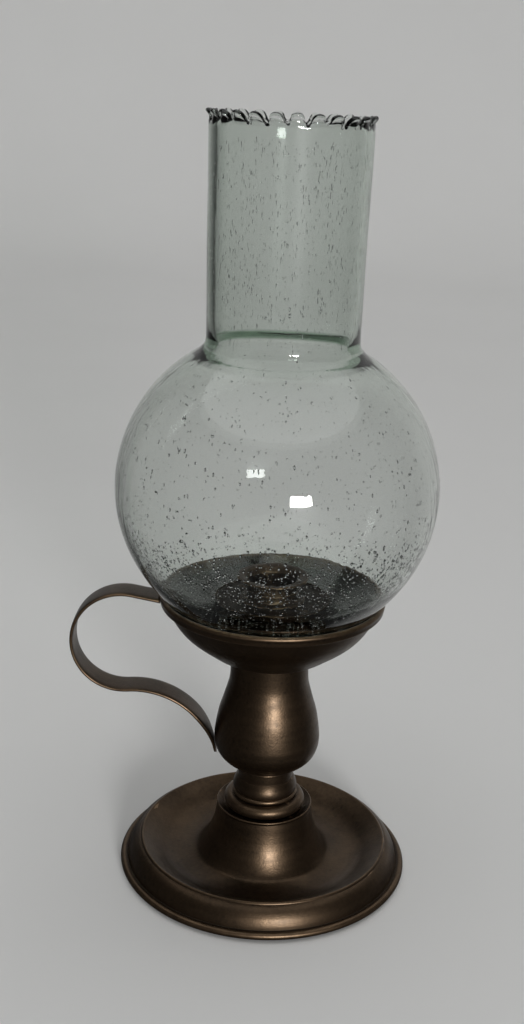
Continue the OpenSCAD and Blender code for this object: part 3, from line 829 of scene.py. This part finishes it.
finish_with(chimney, glass_finish(), "bubble_glass", "chimney", "glass_chimney")


# ---- Studio -------------------------------------------------------------------
# A bowl-shaped floor and wall in one sweep, pale where it is looked at and darker
# in reflections except behind the lamp. Soft light comes in at the open top, and
# one small window-like light stands in front, to the right.

bm = bmesh.new()
floor_r, cove_r, wall_top = 2.3, 1.2, 4.0
studio_sides, cove_steps = 96, 16
sweep = [Vector((r, 0)) for r in (0.001, 0.6, 1.4, floor_r)]
for k in range(1, cove_steps + 1):
    t = math.pi / 2 * k / cove_steps
    sweep.append(Vector((floor_r + cove_r * math.sin(t), cove_r - cove_r * math.cos(t))))
sweep.append(Vector((floor_r + cove_r, wall_top)))
rings = []
for p in sweep:
    turns = (2 * math.pi * k / studio_sides for k in range(studio_sides))
    rings.append([bm.verts.new((p.x * math.cos(a), p.x * math.sin(a), p.y)) for a in turns])
for ring, above in zip(rings, rings[1:]):
    for k in range(studio_sides):
        m = (k + 1) % studio_sides
        bm.faces.new((ring[m], ring[k], above[k], above[m]))
bm.faces.new(rings[0])
studio = as_piece("studio_sweep", bm)


def paper_finish():
    """Pale matt paper, darker in reflections except in a soft-edged stretch behind the lamp."""
    material, tree, out = new_material("studio_paper")
    place = put(tree, "TexCoord").outputs["Object"]
    pale = blend_colour(tree, noise(tree, place, 3, 4), (0.77, 0.77, 0.76), (0.81, 0.81, 0.80))
    level = put(tree, "Mapping", {"Vector": place, "Scale": (1, 1, 0)}).outputs["Vector"]
    bearing = put(tree, "VectorMath", {0: level}, operation="NORMALIZE").outputs[0]
    back = (math.sin(math.radians(18)), math.cos(math.radians(18)), 0)
    behind = put(tree, "VectorMath", {0: bearing, 1: back}, operation="DOT_PRODUCT").outputs["Value"]
    seen = put(tree, "LightPath").outputs["Is Camera Ray"]
    bright = maths(tree, "MAXIMUM", spread(tree, behind, 0.45, 0.86), seen)
    tone = blend_colour(tree, bright, (0.10, 0.10, 0.10), pale)
    paper = put(tree, "BsdfPrincipled", {"Base Color": tone, "Roughness": 0.9, "Specular IOR Level": 0.2})
    tree.links.new(paper.outputs[0], out.inputs[0])
    return material


studio.data.materials.append(paper_finish())

scene = bpy.context.scene
world = bpy.data.worlds.new("soft_sky")
world.use_nodes = True
world.node_tree.nodes["Background"].inputs["Color"].default_value = (1.0, 1.0, 1.0, 1)
world.node_tree.nodes["Background"].inputs["Strength"].default_value = 0.84
scene.world = world


def window(name, spot, towards, wide, tall, watts):
    """A flat soft light of that size, in metres, which faces a point and which the camera can't see."""
    light = bpy.data.lights.new(name, "AREA")
    light.shape = "RECTANGLE"
    light.size = wide
    light.size_y = tall
    light.energy = watts
    lamp = bpy.data.objects.new(name, light)
    lamp.location = spot
    lamp.rotation_euler = (Vector(spot) - Vector(towards)).to_track_quat("Z", "Y").to_euler()
    lamp.visible_camera = False
    scene.collection.objects.link(lamp)


middle = Vector((0, 0, globe_z * MM))
side, height_turn = math.radians(16), math.radians(6.6)
towards_window = Vector((math.sin(side) * math.cos(height_turn), -math.cos(side) * math.cos(height_turn),
                         math.sin(height_turn)))
window_away = 3.2
window("key_window", middle + towards_window * window_away, middle, 0.74, 0.46, 98)

camera_data = bpy.data.cameras.new("camera")
camera_data.sensor_fit = "VERTICAL"
camera_data.sensor_height = 36
camera_data.lens = 45.0
camera = bpy.data.objects.new("camera", camera_data)
scene.collection.objects.link(camera)
yaw, pitch, roll_turn = -0.0115, 0.3116, 0.038
camera.matrix_world = (Matrix.Translation((0, -0.56945, 0.36831)) @ Matrix.Rotation(-yaw, 4, "Z")
                       @ Matrix.Rotation(math.pi / 2 - pitch, 4, "X") @ Matrix.Rotation(roll_turn, 4, "Z"))
scene.camera = camera
scene.view_settings.view_transform = "Standard"
